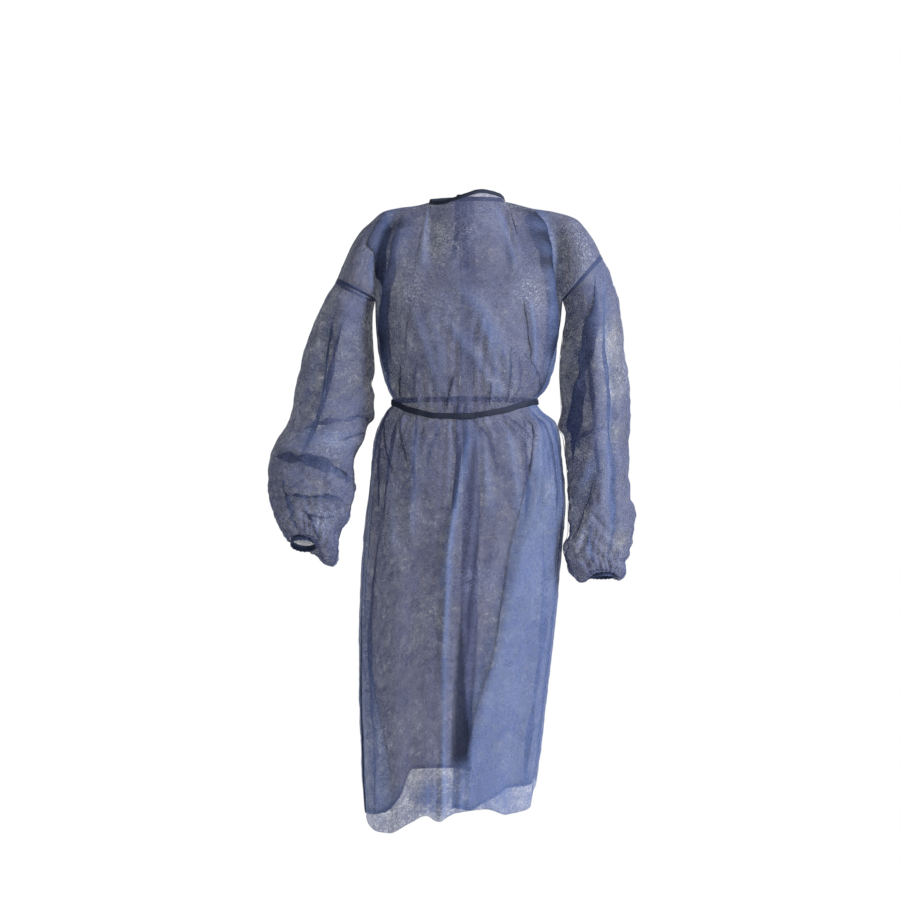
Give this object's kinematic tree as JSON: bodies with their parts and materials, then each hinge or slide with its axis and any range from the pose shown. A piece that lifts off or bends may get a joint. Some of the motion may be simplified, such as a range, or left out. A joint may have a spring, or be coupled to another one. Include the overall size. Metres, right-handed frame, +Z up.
{
  "type": "disposable isolation gown",
  "caption": "Knee-length long-sleeved disposable gown of thin nonwoven cloth in its worn shape, with elastic cuffs, a bound neck, a waist tie and a lapped back.",
  "frame": {"origin": "between the wearer's shoulders at the root of the neck, where the worn gown is held up", "axes": "+Z up, -Y the way the front of the gown faces, +X on the right of someone who looks at the front"},
  "size_m": [0.6769, 0.298, 1.1811],
  "materials": {
    "cloth": "matt, slightly sheer spunbond nonwoven in navy",
    "elastic": "matt gathered nonwoven over elastic thread, navy",
    "tape": "matt folded nonwoven tape, dark navy"
  },
  "bodies": {
    "root": {"front_panel": "cloth", "back_left": "cloth", "back_right": "cloth", "sleeve_left": "cloth", "sleeve_right": "cloth", "cuff_left": "elastic", "cuff_right": "elastic", "neck_binding": "tape", "neck_knot": "tape", "neck_tail_a": "tape", "neck_tail_b": "tape", "waist_tie": "tape", "waist_knot": "tape", "waist_tail_a": "tape", "waist_tail_b": "tape"}
  },
  "joints": []
}
